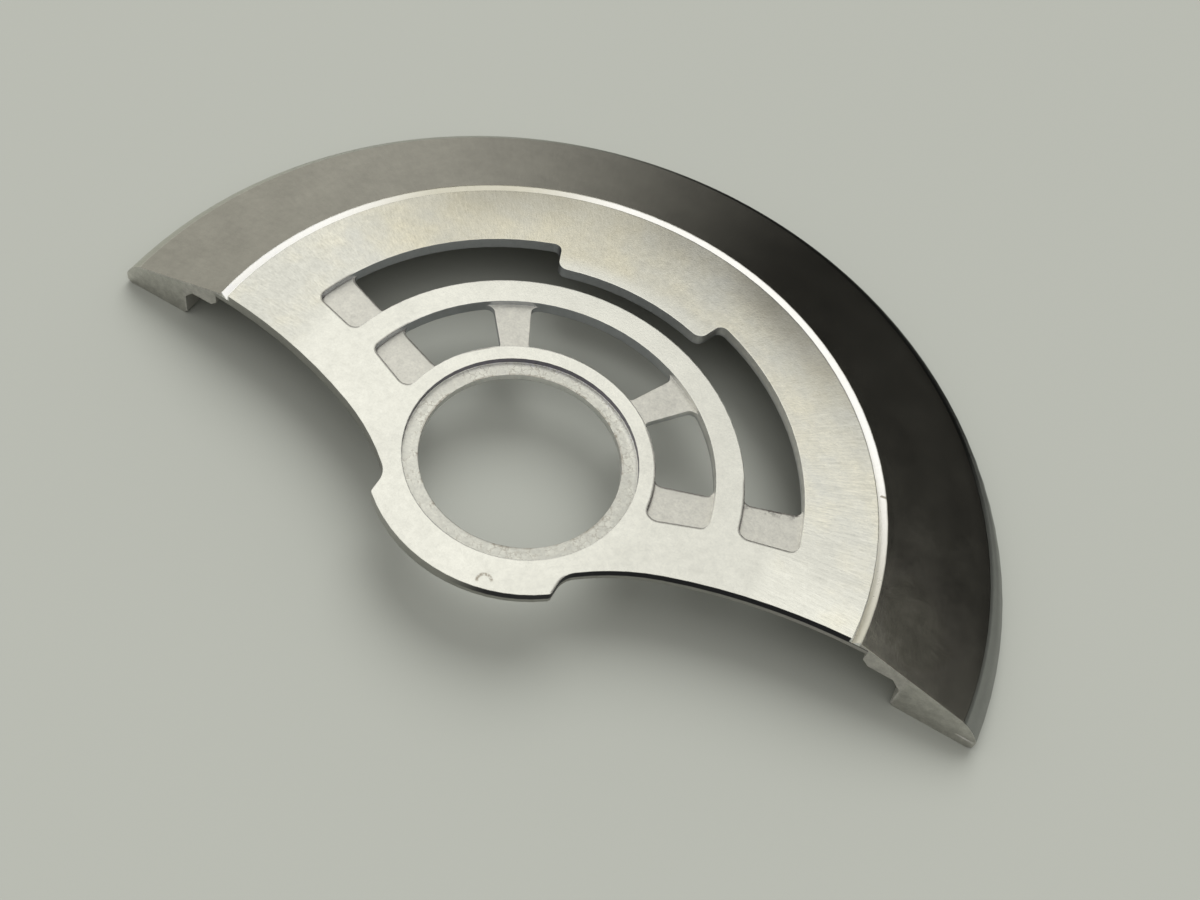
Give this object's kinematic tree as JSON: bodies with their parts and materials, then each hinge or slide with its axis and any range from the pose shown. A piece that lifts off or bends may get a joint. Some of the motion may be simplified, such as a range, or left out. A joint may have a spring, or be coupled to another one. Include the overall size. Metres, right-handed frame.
{
  "type": "watch rotor",
  "caption": "Oscillating weight of a self-winding watch: a thin pierced carrier plate with a stepped bearing bore, and a dense half ring lapped over its rim.",
  "frame": {"origin": "on the bore's axis, at the underside of the carrier plate", "axes": "+Z along the bore's axis, out of the bearing seat; +Y towards the middle of the heavy segment; +X towards its end, square to both"},
  "size_m": [0.028, 0.0183, 0.0021],
  "materials": {
    "plated_brass": "plated silver-white, brushed",
    "heavy_alloy": "fine satin, dark"
  },
  "bodies": {
    "root": {"carrier_plate": "plated_brass", "heavy_segment": "heavy_alloy"}
  },
  "joints": []
}
